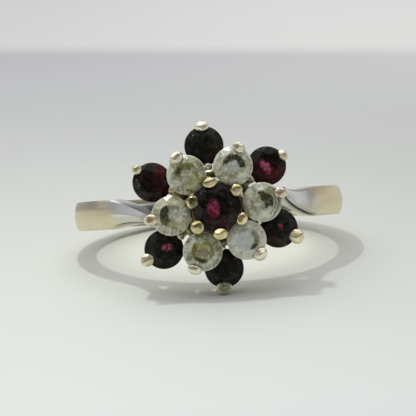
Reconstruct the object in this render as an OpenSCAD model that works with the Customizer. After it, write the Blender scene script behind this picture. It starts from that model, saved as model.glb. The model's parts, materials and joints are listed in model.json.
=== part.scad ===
// Two-tier flower cluster ring: a ruby in the middle, six white stones round it, and six rubies below and
// between them. Lengths are in millimetres. The ring lies on its side, as it does when it is put down.
// It rests on the bead of its lowest claw and on the back of the band. +Z is up and the head faces -Y.

/* [Band] */
// Inside diameter of the band
finger_d = 17.3; // [16:0.1:19]
// Width of the band along the finger
band_w = 2.1; // [1.8:0.1:2.6]
// Thickness of the band at its middle
band_t = 1.35; // [1.2:0.05:1.6]
// Rise of the band's domed outer face over its edges
band_dome = 0.25; // [0.15:0.05:0.35]
// Angle from the middle of the head to where each shoulder begins
shoulder_angle = 47; // [44:1:52]

/* [Stones] */
// Diameter of the ruby in the middle
centre_d = 3.3; // [3.1:0.05:3.3]
// Diameter of the twelve small stones
stone_d = 2.68; // [2.5:0.02:2.7]

/* [Head] */
// Turn of the head on the band, seen from the front
head_turn = 6.5; // [4:0.5:8]
// Height of the lower rubies' girdles over the finger
ruby_rise = 2.35; // [2.3:0.05:2.5]
// Height of the white stones' girdles over the finger
white_rise = 3.55; // [3.5:0.05:3.7]
// Height of the middle ruby's girdle over the finger
centre_rise = 3.8; // [3.75:0.05:3.95]
// Thickness of the claw wire
claw_d = 0.56; // [0.5:0.02:0.6]

/* [Hidden] */
$fn = 64;

gold = "#cdbb8a";
ruby_red = "#4a0a1c";
white_glass = "#cfd3d0";

// How each white stone sits. SLIP is its angle off the regular place, REACH its distance from the head's
// axis, CLAW_SLIP its outer claw's angle off the regular place, and BEAD that claw's bead radius
SLIP = 0;
REACH = 1;
CLAW_SLIP = 2;
BEAD = 3;
white_rows = [
    [-3.5, 3.10, 2.5, 0.40],
    [-2.0, 3.00, -0.5, 0.40],
    [2.5, 3.00, -1.0, 0.44],
    [0.0, 3.12, -1.0, 0.40],
    [2.0, 3.10, 0.0, 0.40],
    [2.5, 2.98, 3.0, 0.44],
];
// How each lower ruby sits, in the same columns
ruby_rows = [
    [-1.0, 4.48, -1.5, 0.36],
    [0.5, 4.28, -0.5, 0.45],
    [-2.0, 4.66, -6.5, 0.35],
    [-1.5, 4.52, -4.0, 0.44],
    [-2.5, 4.16, -4.5, 0.50],
    [1.5, 4.48, 0.0, 0.48],
];
// The six claws round the middle ruby: the angle off the regular place and the bead radius
INNER_SLIP = 0;
INNER_BEAD = 1;
inner_rows = [
    [4.5, 0.39],
    [6.0, 0.40],
    [4.0, 0.40],
    [3.0, 0.43],
    [-3.0, 0.42],
    [-3.0, 0.39],
];

// Cut of the stones, as shares of the diameter: how far out the corners of the table, stars and belly lie,
// how high the crown, pavilion and girdle are, and the heights that follow
table_share = 0.29;
star_share = 0.385;
belly_share = 0.115;
crown_share = 0.15;
pavilion_share = 0.43;
girdle_share = 0.03;
table_z = girdle_share / 2 + crown_share;
star_z = table_z - (star_share * cos(22.5) - table_share) * crown_share / (0.5 - table_share);
culet_z = -girdle_share / 2 - pavilion_share;
belly_z = culet_z + belly_share * cos(22.5) * pavilion_share / 0.5;
fit_gap = 0.03; // between each stone and the metal
white_step = 11; // degrees
ruby_step = 17;

finger_r = finger_d / 2;
band_r = finger_r + band_t;
band_side_r = band_r - band_dome;
dome_r = (pow(band_w / 2, 2) + pow(band_dome, 2)) / (2 * band_dome);
bore_stock = 0.4; // metal left inside the band for the bore to clear

ruby_z = finger_r + ruby_rise;
white_z = finger_r + white_rise;
centre_z = finger_r + centre_rise;
stone_r = stone_d / 2;

claw_r = claw_d / 2;
joint_r = claw_r * 1.05;
bead_lift = 0.2; // height of an outer bead's centre over its stone's girdle
bead_in = 0.02; // how far inside its stone's edge that centre lies
knee_out = 0.02; // how far outside its stone's edge an outer claw's knee lies
knee_drop = 0.45; // and how far below the girdle
rail_z = finger_r + 0.76; // the lower gallery's wire
rail_reach = 3.75;
rail_r = 0.3;
spoke_r = 0.3;
hub_r = 1.1;
upper_rail_z = white_z - 0.8;
upper_rail_reach = 2.35;
upper_rail_r = 0.3;
arm_r = 0.2;
tie_reach = 1.6; // the wire round the middle ruby's cup
tie_drop = 0.5;
tie_r = 0.22;
ruby_stem_r = 0.24; // the claw at a lower ruby's inner edge
ruby_stem_in = 0.16;
ruby_stem_bead_r = 0.31;
inner_foot = 1.98; // the reaches of the middle ruby's claws, from foot to bead
inner_knee = 1.93;
inner_head = 1.79;
inner_knee_drop = 0.1;
inner_head_lift = 0.25;
bridge_w = 1.2;
bridge_t = 1.0;

function regular(i, start) = head_turn + start + 60 * i;
function white_angle(i) = regular(i, 0) + white_rows[i][SLIP];
function white_claw_angle(i) = regular(i, 0) + white_rows[i][CLAW_SLIP];
function ruby_angle(i) = regular(i, 30) + ruby_rows[i][SLIP];
function ruby_claw_angle(i) = regular(i, 30) + ruby_rows[i][CLAW_SLIP];
function inner_angle(i) = regular(i, 30) + inner_rows[i][INNER_SLIP];

// How far from the head's axis a stone's far edge lies, along a line at an angle off the stone's own
function edge_reach(reach, off, r) = reach * cos(off) + sqrt(r * r - pow(reach * sin(off), 2));

// The head's own frame has its axis along +Z, from the finger outwards
module head_place() {
    rotate([90, 0, 0]) children();
}

module on_head(angle, reach, z) {
    rotate(angle) translate([reach, 0, z]) children();
}

// The way the ring lies
low_claw = 4; // the ruby row whose bead touches the surface
low_bead_r = ruby_rows[low_claw][BEAD];
low_bead_off = ruby_rows[low_claw][CLAW_SLIP] - ruby_rows[low_claw][SLIP];
low_bead_reach = edge_reach(ruby_rows[low_claw][REACH], low_bead_off, stone_r) - bead_in;
low_bead_drop = -low_bead_reach * sin(ruby_claw_angle(low_claw));
lie_run = ruby_z + bead_lift + band_side_r;
lie_drop = low_bead_drop - band_w / 2;
lie_tilt = atan2(lie_drop, lie_run) + asin(low_bead_r / norm([lie_run, lie_drop]));
lie_roll = 0.45; // the small sideways lean that balances it
rest_z = band_side_r * sin(lie_tilt) + band_w / 2 * cos(lie_tilt);
middle_y = 1.8; // puts the origin under the middle of the whole ring

module lie_down() {
    translate([0, middle_y, rest_z]) rotate([-lie_tilt, 0, 0]) rotate([0, -lie_roll, 0]) children();
}

function ring_points(n, r, z, start = 0) =
    [for (i = [0:n - 1]) [r * cos(start + i * 360 / n), r * sin(start + i * 360 / n), z]];

function reversed(list) = [for (i = [len(list) - 1:-1:0]) list[i]];

// A round brilliant with its girdle at z = 0
module brilliant(d) {
    girdle = girdle_share / 2 * d;
    points = concat(
        ring_points(8, table_share * d, table_z * d),
        ring_points(8, star_share * d, star_z * d, 22.5),
        ring_points(16, d / 2, girdle),
        ring_points(16, d / 2, -girdle),
        ring_points(8, belly_share * d, belly_z * d, 22.5),
        [[0, 0, culet_z * d]]
    );
    star = 8;
    top = 16;
    low = 32;
    belly = 48;
    culet = 56;
    outward = concat(
        [[for (i = [0:7]) i]],
        [for (i = [0:7]) [i, star + i, (i + 1) % 8]],
        [for (i = [0:7]) [i, star + (i + 7) % 8, top + 2 * i, star + i]],
        [for (i = [0:7]) [star + i, top + 2 * i, top + 2 * i + 1]],
        [for (i = [0:7]) [star + i, top + 2 * i + 1, top + (2 * i + 2) % 16]],
        [for (j = [0:15]) [low + j, low + (j + 1) % 16, top + (j + 1) % 16, top + j]],
        [for (i = [0:7]) [belly + i, low + 2 * i + 1, low + 2 * i]],
        [for (i = [0:7]) [belly + i, low + (2 * i + 2) % 16, low + 2 * i + 1]],
        [for (i = [0:7]) [culet, belly + i, low + 2 * i, belly + (i + 7) % 8]]
    );
    polyhedron(points, [for (f = outward) reversed(f)]);
}

// The room that a stone takes in the metal
module stone_room(d) {
    girdle = girdle_share / 2 * d + fit_gap;
    rim = d / 2 + fit_gap;
    rotate_extrude()
        polygon([
            [0, culet_z * d - 1.5 * fit_gap],
            [belly_share * d + fit_gap, belly_z * d - fit_gap],
            [rim, -girdle],
            [rim, girdle],
            [star_share * d + fit_gap, star_z * d + fit_gap],
            [table_share * d, table_z * d + fit_gap],
            [0, table_z * d + fit_gap],
        ]);
}

// The cone that a stone's pavilion sits in, drilled through
module cup(d) {
    rotate_extrude()
        polygon([
            [0.1 * d, -0.56 * d],
            [0.2 * d, -0.56 * d],
            [0.485 * d, -0.1 * d],
            [0.1 * d, -0.1 * d],
        ]);
}

// A straight wire in the plane of the head's axis, from one [reach, height] to another
module wire(from, to, r) {
    run = to - from;
    translate([from.x, 0, from.y]) rotate([0, atan2(run.x, run.y), 0]) cylinder(h = norm(run), r = r);
}

// A claw that climbs past its stone's edge and ends in a bead on it
module outer_claw(foot, edge, girdle_z, bead_r) {
    knee = [edge + knee_out, girdle_z - knee_drop];
    head = [edge - bead_in, girdle_z + bead_lift];
    wire(foot, knee, claw_r);
    translate([knee.x, 0, knee.y]) sphere(joint_r);
    wire(knee, head, claw_r);
    translate([head.x, 0, head.y]) sphere(bead_r);
}

module band() {
    start = 270 + shoulder_angle;
    rotate_extrude(angle = 360 - 2 * shoulder_angle, start = start)
        intersection() {
            translate([finger_r - bore_stock, -band_w / 2]) square([band_t + bore_stock, band_w]);
            translate([band_r - dome_r, 0]) circle(dome_r, $fn = 128);
        }
}

// The narrow strip of the band that passes under the head
module bridge() {
    rotate_extrude()
        translate([finger_r - bore_stock, -bridge_w / 2]) square([bridge_t + bore_stock, bridge_w]);
}

// Each shoulder's middle line is a curve in the band's plane, with x across and y towards the head
shoulder_mid_r = finger_r + band_t / 2 - 0.02;
shoulder_from = shoulder_mid_r * [sin(shoulder_angle), cos(shoulder_angle)];
shoulder_along = [-cos(shoulder_angle), sin(shoulder_angle)];
shoulder_bend = shoulder_from + 3.3 * shoulder_along;
shoulder_tip = [4.62, white_z - 0.35];
shoulder_t = band_t - 0.06;
shoulder_tip_t = 0.62;
shoulder_tip_w = 0.76;
ridge_rise = 0.26; // how far the ridge stands over the sides
ridge_tip_rise = 0.2;
shoulder_steps = 10;
shoulder_start = -0.1; // the first section lies a little inside the band

function bend_point(t) =
    t < 0
        ? shoulder_from + 2 * t * (shoulder_bend - shoulder_from)
        : pow(1 - t, 2) * shoulder_from + 2 * t * (1 - t) * shoulder_bend + t * t * shoulder_tip;
function bend_way(t) =
    let (u = max(t, 0), d = (1 - u) * (shoulder_bend - shoulder_from) + u * (shoulder_tip - shoulder_bend))
    d / norm(d);

// The five corners of a shoulder's section: two inside, two at the sides and the ridge between them
function shoulder_section(t, tip_v) =
    let (
        u = max(t, 0),
        p = bend_point(t),
        way = bend_way(t),
        out = [way.y, -way.x],
        half_w = (shoulder_tip_w + (band_w - shoulder_tip_w) * pow(1 - u, 2)) / 2 - 0.01,
        half_t = (shoulder_t * (1 - u) + shoulder_tip_t * u) / 2,
        ridge = ridge_rise * (1 - u) + ridge_tip_rise * u,
        v = tip_v * u * u * (3 - 2 * u),
        corners = [
            [-half_t, -half_w], [half_t - ridge, -half_w], [half_t, 0],
            [half_t - ridge, half_w], [-half_t, half_w]
        ]
    )
    [for (c = corners) [p.x + c[0] * out.x, -(p.y + c[0] * out.y), v + c[1]]];

module shoulder(tip_v) {
    steps = [for (k = [0:shoulder_steps]) shoulder_start + (1 - shoulder_start) * k / shoulder_steps];
    points = [for (t = steps) each shoulder_section(t, tip_v)];
    last = 5 * shoulder_steps;
    sides = [
        for (k = [0:shoulder_steps - 1], j = [0:4])
            let (a = 5 * k + j, b = 5 * k + (j + 1) % 5)
            each [[a, b + 5, b], [a, a + 5, b + 5]]
    ];
    caps = [[0, 1, 2, 3, 4], [for (j = [4:-1:0]) last + j]];
    polyhedron(points, concat(sides, caps));
}

// Each tip meets the outer claw of the white stone on its side
module shoulders() {
    shoulder(shoulder_tip.x * sin(white_claw_angle(0)));
    mirror([1, 0, 0]) shoulder(shoulder_tip.x * sin(white_claw_angle(3)));
}

// The lower gallery: a hub on the bridge, a round rail, six spokes, and the rubies' cups and claws
module lower_gallery() {
    translate([0, 0, finger_r + 0.1]) cylinder(h = rail_z - finger_r + 0.3, r = hub_r);
    translate([0, 0, rail_z]) rotate_extrude() translate([rail_reach, 0]) circle(rail_r);
    for (i = [0:5]) {
        reach = ruby_rows[i][REACH];
        edge = edge_reach(reach, ruby_rows[i][CLAW_SLIP] - ruby_rows[i][SLIP], stone_r);
        rotate(ruby_angle(i)) wire([hub_r - 0.3, rail_z], [reach, rail_z], spoke_r);
        on_head(ruby_angle(i), reach, ruby_z) cup(stone_d);
        rotate(ruby_claw_angle(i)) outer_claw([rail_reach, rail_z], edge, ruby_z, ruby_rows[i][BEAD]);
        rotate(ruby_angle(i)) ruby_inner_claw(reach - stone_r);
    }
}

// The short claw that holds a ruby's inner edge, between two white stones
module ruby_inner_claw(edge) {
    stem = edge - ruby_stem_in;
    wire([stem, rail_z], [stem, ruby_z + 0.16], ruby_stem_r);
    translate([stem + 0.05, 0, ruby_z + 0.22]) sphere(ruby_stem_bead_r);
}

// The upper gallery: a smaller rail and six arms, with the white stones' cups and claws
module upper_gallery() {
    translate([0, 0, upper_rail_z]) rotate_extrude() translate([upper_rail_reach, 0]) circle(upper_rail_r);
    for (i = [0:5]) {
        reach = white_rows[i][REACH];
        edge = edge_reach(reach, white_rows[i][CLAW_SLIP] - white_rows[i][SLIP], stone_r);
        rotate(white_angle(i)) wire([upper_rail_reach, upper_rail_z], [reach, upper_rail_z], arm_r);
        on_head(white_angle(i), reach, white_z) cup(stone_d);
        rotate(white_claw_angle(i))
            outer_claw([rail_reach - 0.2, rail_z], edge, white_z, white_rows[i][BEAD]);
    }
}

// The middle ruby's cup, the wire round it, and the six claws that it shares with the white stones
module centre_setting() {
    translate([0, 0, centre_z]) cup(centre_d);
    translate([0, 0, centre_z - tie_drop]) rotate_extrude() translate([tie_reach, 0]) circle(tie_r);
    knee = [inner_knee, centre_z - inner_knee_drop];
    head = [inner_head, centre_z + inner_head_lift];
    for (i = [0:5]) {
        rotate(inner_angle(i)) {
            wire([inner_foot, rail_z], knee, claw_r);
            translate([knee.x, 0, knee.y]) sphere(joint_r);
            wire(knee, head, claw_r);
            translate([head.x, 0, head.y]) sphere(inner_rows[i][INNER_BEAD]);
        }
    }
}

module stone_rooms() {
    translate([0, 0, centre_z]) stone_room(centre_d);
    for (i = [0:5]) {
        on_head(white_angle(i), white_rows[i][REACH], white_z) stone_room(stone_d);
        on_head(ruby_angle(i), ruby_rows[i][REACH], ruby_z) stone_room(stone_d);
    }
}

module gold_mount() {
    color(gold) difference() {
        union() {
            band();
            bridge();
            shoulders();
            head_place() {
                lower_gallery();
                upper_gallery();
                centre_setting();
            }
        }
        cylinder(h = 2 * band_w, r = finger_r, center = true, $fn = 128);
        head_place() stone_rooms();
    }
}

module centre_ruby() {
    color(ruby_red) head_place() translate([0, 0, centre_z]) rotate(head_turn) brilliant(centre_d);
}

// The small stones' facets point different ways, a step further on each stone
module white_stone(i) {
    color(white_glass) head_place()
        on_head(white_angle(i), white_rows[i][REACH], white_z) rotate(white_step * i) brilliant(stone_d);
}

module ruby(i) {
    color(ruby_red) head_place()
        on_head(ruby_angle(i), ruby_rows[i][REACH], ruby_z) rotate(ruby_step * i) brilliant(stone_d);
}

lie_down() gold_mount();
lie_down() centre_ruby();
for (i = [0:5]) {
    lie_down() white_stone(i);
    lie_down() ruby(i);
}
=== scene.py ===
# A two-tier flower cluster ring of rubies and white stones that lies on its side on a pale floor.
# Pieces are made in millimetres in the head's own frame, and the finger hole that the CAD states places them:
# x goes to the right across the finger, y along the finger, z from the finger's middle out through the head.
import json
import math
import random

import bmesh
import bpy
from mathutils import Matrix, Vector, noise


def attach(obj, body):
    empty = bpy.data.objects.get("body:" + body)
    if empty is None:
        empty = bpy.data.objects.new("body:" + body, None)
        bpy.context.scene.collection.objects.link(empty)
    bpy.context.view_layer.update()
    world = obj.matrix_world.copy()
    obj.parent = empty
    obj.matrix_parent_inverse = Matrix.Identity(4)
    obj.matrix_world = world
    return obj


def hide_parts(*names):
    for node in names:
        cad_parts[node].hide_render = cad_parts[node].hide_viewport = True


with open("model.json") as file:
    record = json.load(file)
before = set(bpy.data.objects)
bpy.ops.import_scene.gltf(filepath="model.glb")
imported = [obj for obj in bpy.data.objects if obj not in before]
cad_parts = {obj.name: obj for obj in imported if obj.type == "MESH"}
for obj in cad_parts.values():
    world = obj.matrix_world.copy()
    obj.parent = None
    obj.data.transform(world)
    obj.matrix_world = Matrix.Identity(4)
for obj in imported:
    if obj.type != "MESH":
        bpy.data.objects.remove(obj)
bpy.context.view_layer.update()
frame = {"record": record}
print("frame loaded")

mm = 0.001
bore = frame["record"]["mounts"][0]
fingerAxis = Vector(bore["axis"]).normalized()
hoopMiddle = Vector(bore["pos_m"])
fingerRadius = bore["dims"]["r_mm"]
backward = Vector((0, fingerAxis.z, -fingerAxis.y)).normalized()
headAxis = -backward
rightward = backward.cross(fingerAxis)
turned = Matrix((rightward, fingerAxis, headAxis)).transposed().to_4x4()
place = Matrix.Translation(hoopMiddle) @ turned @ Matrix.Scale(mm, 4)
upward = Vector((0, 0, 1))


# Shader maths

class Value:
    # one socket, so that sums on masks are written as sums
    def __init__(self, finish, socket):
        self.finish = finish
        self.socket = socket

    def math(self, operation, first, second=0.0):
        return self.finish.node("Math", {0: first, 1: second}, {"operation": operation})

    def __add__(self, other):
        return self.math("ADD", self, other)

    def __radd__(self, other):
        return self.math("ADD", other, self)

    def __sub__(self, other):
        return self.math("SUBTRACT", self, other)

    def __rsub__(self, other):
        return self.math("SUBTRACT", other, self)

    def __mul__(self, other):
        return self.math("MULTIPLY", self, other)

    def __rmul__(self, other):
        return self.math("MULTIPLY", other, self)

    def __truediv__(self, other):
        return self.math("DIVIDE", self, other)

    def __pow__(self, other):
        return self.math("POWER", self, other)

    def largest(self, other):
        return self.math("MAXIMUM", self, other)

    def smallest(self, other):
        return self.math("MINIMUM", self, other)

    def __abs__(self):
        return self.math("ABSOLUTE", self)


class Finish:
    # the nodes of a material or of the world
    def __init__(self, owner):
        owner.use_nodes = True
        self.owner = owner
        self.tree = owner.node_tree
        self.tree.nodes.clear()

    def node(self, kind, sockets=None, settings=None, out=0):
        made = self.tree.nodes.new("ShaderNode" + kind)
        for key, setting in (settings or {}).items():
            setattr(made, key, setting)
        for key, given in (sockets or {}).items():
            if isinstance(given, Value):
                self.tree.links.new(given.socket, made.inputs[key])
            else:
                made.inputs[key].default_value = given
        return Value(self, made.outputs[out]) if made.outputs else made

    def dot(self, first, second):
        return self.node("VectorMath", {0: first, 1: second}, {"operation": "DOT_PRODUCT"}, 1)

    def scaled(self, vector, times):
        return self.node("VectorMath", {0: vector, "Scale": times}, {"operation": "SCALE"})

    def moved(self, vector, by):
        return self.node("VectorMath", {0: vector, 1: by}, {"operation": "ADD"})

    def mix(self, share, first, second):
        first, second = (c if isinstance(c, Value) else (*c, 1) for c in (first, second))
        return self.node("Mix", {0: share, 6: first, 7: second}, {"data_type": "RGBA"}, 2)

    def step(self, value, low, high):
        return self.node("MapRange", {"Value": value, "From Min": low, "From Max": high},
                         {"interpolation_type": "SMOOTHSTEP"})

    def noise(self, at, scale, detail=3.0, roughness=0.5, out=0):
        return self.node("TexNoise", {"Vector": at, "Scale": scale, "Detail": detail, "Roughness": roughness},
                         None, out)

    def cells(self, at, scale, out=0):
        return self.node("TexVoronoi", {"Vector": at, "Scale": scale}, None, out)

    def paintedFacetLight(self, seed):
        # one number for each facet, by the way that it faces, for painting light and shade that differs from
        # facet to facet
        return self.noise(self.moved(self.node("NewGeometry", None, None, 3), (seed, 0, 0)), 5.0, 1.0)

    def openness(self, reach, samples, ownOnly):
        # 1 in the open, and less where a surface is nearer than the reach
        settings = {"samples": samples, "only_local": ownOnly}
        return self.node("AmbientOcclusion", {"Distance": reach * mm}, settings, 1)

    def painted(self, layer):
        return self.node("Attribute", None, {"attribute_name": layer}, 2)

    def shaken(self, vector, by, scale, seed=0.0):
        # the point, pushed about by noise to either side
        push = self.noise(self.moved(vector, (7.0 * seed, 3.0 * seed, 0)), scale, 3.0, 0.6, 1)
        return self.moved(vector, self.scaled(self.moved(push, (-0.5, -0.5, -0.5)), by))

    def joined(self, x, y, z):
        return self.node("CombineXYZ", {0: x, 1: y, 2: z})

    def parts(self, vector):
        first = self.node("SeparateXYZ", {0: vector})
        return [Value(self, out) for out in first.socket.node.outputs]

    def ownPoint(self):
        return self.scaled(self.node("TexCoord", None, None, 3), 1 / mm)

    def headPoint(self):
        # a point of the ring in the head's frame, in millimetres
        away = self.moved(self.node("TexCoord", None, None, 3), -hoopMiddle)
        return [self.dot(away, axis) / mm for axis in (rightward, fingerAxis, headAxis)]

    def bump(self, height, strength, depth):
        return self.node("Bump", {"Height": height, "Strength": strength, "Distance": depth * mm})

    def surface(self, colour, roughness, normal, others):
        return self.node("BsdfPrincipled",
                         {"Base Color": colour, "Roughness": roughness, "Normal": normal, **others})

    def done(self, shader):
        self.node("OutputWorld" if isinstance(self.owner, bpy.types.World) else "OutputMaterial",
                  {"Surface": shader})
        return self.owner


def newFinish(name):
    return Finish(bpy.data.materials.new(name))


def reachOf(x, y):
    return (x * x + y * y) ** 0.5


# Mesh helpers

def curveThrough(knots, steps=6):
    # a smooth row of points through the knots, which may have any number of parts
    rows = [Vector(k) for k in knots]
    rows = [2 * rows[0] - rows[1], *rows, 2 * rows[-1] - rows[-2]]
    out = []
    for a, b, c, d in zip(rows, rows[1:], rows[2:], rows[3:]):
        for k in range(steps):
            t = k / steps
            out.append(0.5 * (2 * b + (c - a) * t + (2 * a - 5 * b + 4 * c - d) * t * t
                              + (3 * b - a - 3 * c + d) * t ** 3))
    out.append(rows[-2])
    return out


def evenAngles(count):
    return [math.tau * k / count for k in range(count)]


def loft(mesh, rings, ends=True):
    rows = [[mesh.verts.new(point) for point in ring] for ring in rings]
    if not ends:
        rows.append(rows[0])
    for near, far in zip(rows, rows[1:]):
        for k, vert in enumerate(near):
            after = (k + 1) % len(near)
            mesh.faces.new((vert, near[after], far[after], far[k]))
    if ends:
        mesh.faces.new(rows[0][::-1])
        mesh.faces.new(rows[-1])


def tube(mesh, path, radii, square, sides=20):
    # square is a direction that the whole path keeps at a right angle
    rings = []
    for k, point in enumerate(path):
        ahead = (path[min(k + 1, len(path) - 1)] - path[max(k - 1, 0)]).normalized()
        beside = ahead.cross(square)
        rings.append([point + radii[k] * (math.cos(a) * square + math.sin(a) * beside)
                      for a in evenAngles(sides)])
    loft(mesh, rings)


def lathe(mesh, profile, middle=(0, 0), steps=48):
    loft(mesh, [[Vector((middle[0] + r * math.cos(a), middle[1] + r * math.sin(a), z)) for r, z in profile]
                for a in evenAngles(steps)], ends=False)


def wireRing(mesh, reach, height, radius, steps=72, sides=16):
    profile = [(reach + radius * math.cos(a), height + radius * math.sin(a)) for a in evenAngles(sides)]
    lathe(mesh, profile, steps=steps)


def polar(angle, reach, height=0.0):
    a = math.radians(angle)
    return Vector((reach * math.cos(a), reach * math.sin(a), height))


def newObject(name, data):
    made = bpy.data.objects.new(name, data)
    bpy.context.scene.collection.objects.link(made)
    return made


def addPiece(name, mesh, material, sharpAngle=40, where=place):
    bmesh.ops.recalc_face_normals(mesh, faces=mesh.faces)
    data = bpy.data.meshes.new(name)
    mesh.to_mesh(data)
    mesh.free()
    for face in data.polygons:
        face.use_smooth = True
    data.set_sharp_from_angle(angle=math.radians(sharpAngle))
    data.materials.append(material)
    made = newObject(name, data)
    data.transform(where)
    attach(made, "root")
    return made


# Where the stones sit, with angles in degrees round the head and the rest in millimetres

layout = {
    "headTurn": 6.5,
    "stoneSize": 2.68,
    "centreSize": 3.3,
    "centreRise": 3.8,  # of each tier's girdles over the finger
    "whiteRise": 3.55,
    "rubyRise": 2.35,
    "fitGap": 0.03,  # between metal and stone
    "whiteTurn": 11,  # how far each next stone is turned on
    "rubyTurn": 17,
}
# angle off the regular place and reach of each stone, then its outer claw's angle off the regular place,
# the size of that claw's bead, the bead's stretch out from the middle and round it, and how dark its face is
# painted as shade and dark reflection
whiteRows = [
    (-3.5, 3.1, 2.5, 0.37, 1.2, 1.1, 0.0),
    (-2.0, 3.0, -0.5, 0.4, 0.96, 1.1, 0.25),
    (2.5, 3.0, -1.0, 0.44, 0.92, 1.14, 0.1),
    (0.0, 3.12, 0.5, 0.37, 1.28, 1.08, 0.1),
    (2.0, 3.1, 0.0, 0.4, 0.86, 1.2, 0.0),
    (2.5, 2.98, 3.0, 0.44, 0.98, 1.12, 0.0),
]
rubyRows = [
    (-1.0, 4.48, -2.3, 0.35, 0.95, 1.14, 0.25),
    (0.5, 4.28, -0.5, 0.45, 0.84, 1.14, 0.0),
    (-2.0, 4.66, -5.9, 0.33, 1.00, 1.06, 0.25),
    (-1.5, 4.52, -3.0, 0.43, 1.12, 1.04, 0.0),
    (-2.5, 4.16, -4.5, 0.45, 0.98, 1.22, 0.78),
    (1.5, 4.48, 0.0, 0.47, 1.18, 1.06, 0.0),
]
# the claws round the middle ruby: angle and reach off the regular place, bead size, its two stretches,
# painted face shade
innerRows = [
    (1.8, -0.06, 0.39, 1.15, 1.12, 0.35),
    (6.0, -0.06, 0.4, 0.88, 1.28, 0.5),
    (7.5, -0.12, 0.39, 1.08, 1.22, 0.9),
    (5.0, 0.05, 0.43, 1.14, 1.12, 0.4),
    (-3.0, 0.0, 0.42, 0.98, 1.22, 0.1),
    (-4.5, 0.03, 0.38, 1.1, 1.22, 0.1),
]
whiteHeight = fingerRadius + layout["whiteRise"]
rubyHeight = fingerRadius + layout["rubyRise"]
centreHeight = fingerRadius + layout["centreRise"]
stoneSize, centreSize = layout["stoneSize"], layout["centreSize"]
stoneRadius = stoneSize / 2


def regularAngle(k, start):
    return layout["headTurn"] + start + 60 * k


whiteSpots = [polar(regularAngle(k, 0) + row[0], row[1], whiteHeight) for k, row in enumerate(whiteRows)]
rubySpots = [polar(regularAngle(k, 30) + row[0], row[1], rubyHeight) for k, row in enumerate(rubyRows)]
centreSpot = Vector((0, 0, centreHeight))
allStones = [(spot, stoneSize) for spot in whiteSpots + rubySpots]
allStones.append((centreSpot, centreSize))


# The stones

cut = {
    "table": 0.29,  # shares of the diameter
    "star": 0.385,
    "belly": 0.115,
    "crown": 0.15,
    "pavilion": 0.43,
    "girdle": 0.03,
    "girdleSides": 80,
    "wobble": 0.004,
    "facetStep": 22.5,  # degrees
    "sharpAngle": 4.7,
}
halfGirdle = cut["girdle"] / 2
tableHeight = halfGirdle + cut["crown"]
halfStep = math.cos(math.radians(cut["facetStep"]))
starHeight = tableHeight - (cut["star"] * halfStep - cut["table"]) * cut["crown"] / (0.5 - cut["table"])
culetHeight = -halfGirdle - cut["pavilion"]
bellyHeight = culetHeight + cut["belly"] * halfStep * cut["pavilion"] / 0.5


def facetPoint(step, reach, height):
    return polar(cut["facetStep"] * step, reach, height)


def facetPlanes(rng):
    # each facet as the points that it passes through, for a stone of diameter 1
    def spot(step, reach, height):
        return facetPoint(step, reach + cut["wobble"] * rng.uniform(-1, 0), height)

    planes = [[polar(90 * k, cut["table"], tableHeight) for k in range(3)]]
    for n in range(0, 16, 2):
        stars = [facetPoint(n + d, cut["star"], starHeight) for d in (-1, 1)]
        bellies = [facetPoint(n + d, cut["belly"], bellyHeight) for d in (-1, 1)]
        planes.append([spot(n, cut["table"], tableHeight), spot(n + 2, cut["table"], tableHeight), stars[1]])
        for inner, height in ((stars, halfGirdle), (bellies, -halfGirdle)):
            planes.append([*inner, spot(n, 0.5, height)])
            planes.append([inner[1], spot(n, 0.5, height), facetPoint(n + 1, 0.5, height)])
            planes.append([inner[1], spot(n + 2, 0.5, height), facetPoint(n + 1, 0.5, height)])
    return planes


def brilliant(mesh, size, rng):
    # a disc that each facet's plane cuts a little from
    sides = cut["girdleSides"]
    loft(mesh, [[polar(360 * k / sides, size / 2, z * size) for k in range(sides)]
                for z in (culetHeight - 0.1, tableHeight + 0.1)])
    for points in facetPlanes(rng):
        a, b, c = (size * point for point in points)
        out = (b - a).cross(c - a).normalized()
        if out.dot(a - Vector((0, 0, -0.05 * size))) < 0:
            out = -out
        whole = [*mesh.verts, *mesh.edges, *mesh.faces]
        parts = bmesh.ops.bisect_plane(mesh, geom=whole, dist=1e-5, plane_co=a, plane_no=out,
                                       clear_outer=True)["geom_cut"]
        edges = [part for part in parts if isinstance(part, bmesh.types.BMEdge) and part.is_boundary]
        if edges:
            bmesh.ops.contextual_create(mesh, geom=edges)


def addStone(node, spot, size, turn, material):
    mesh = bmesh.new()
    brilliant(mesh, size, random.Random(node))
    made = addPiece("cut_" + node, mesh, material, cut["sharpAngle"], Matrix.Scale(mm, 4))
    # a stone keeps its own middle and turn, which its finish is drawn from
    made.parent = None
    upright = Matrix.Translation(place @ spot) @ turned
    made.matrix_world = upright @ Matrix.Rotation(math.radians(turn), 4, "Z")
    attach(made, "root")
    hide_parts(node)


whiteLook = {
    "light": (0.84, 0.865, 0.72),
    "grey": (0.38, 0.385, 0.2),
    "fleck": (0.13, 0.135, 0.05),
    "rim": (1.0, 1.0, 0.9),
    "clear": (0.88, 0.88, 0.74),
    "clearShare": 0.3,
    "haze": 0.84,
    "ior": 1.77,
    "mottleScale": 5.0,
    "fineScale": 14.0,
    "streakScale": 1.3,
    "speckScale": 4.0,
    "crownFrom": 0.7,  # mm from the stone's middle
    "crownTo": 0.86,
    "rimFrom": 1.235,
    "rimTo": 1.3,
    "greyTone": -0.46,
    "lightTone": 0.42,
    "markEnd": 12,  # degrees that a mark's ends fade over, to each side
}
paintedReflectionTints = {
    "dark": (0.04, 0.036, 0.006),
    "olive": (0.2, 0.185, 0.045),
    "yellow": (0.5, 0.46, 0.13),
    "gold": (0.55, 0.38, 0.09),
    "pale": (0.93, 0.96, 0.8),
    "cool": (0.66, 0.73, 0.74),
    "brown": (0.34, 0.28, 0.17),
}
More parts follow.
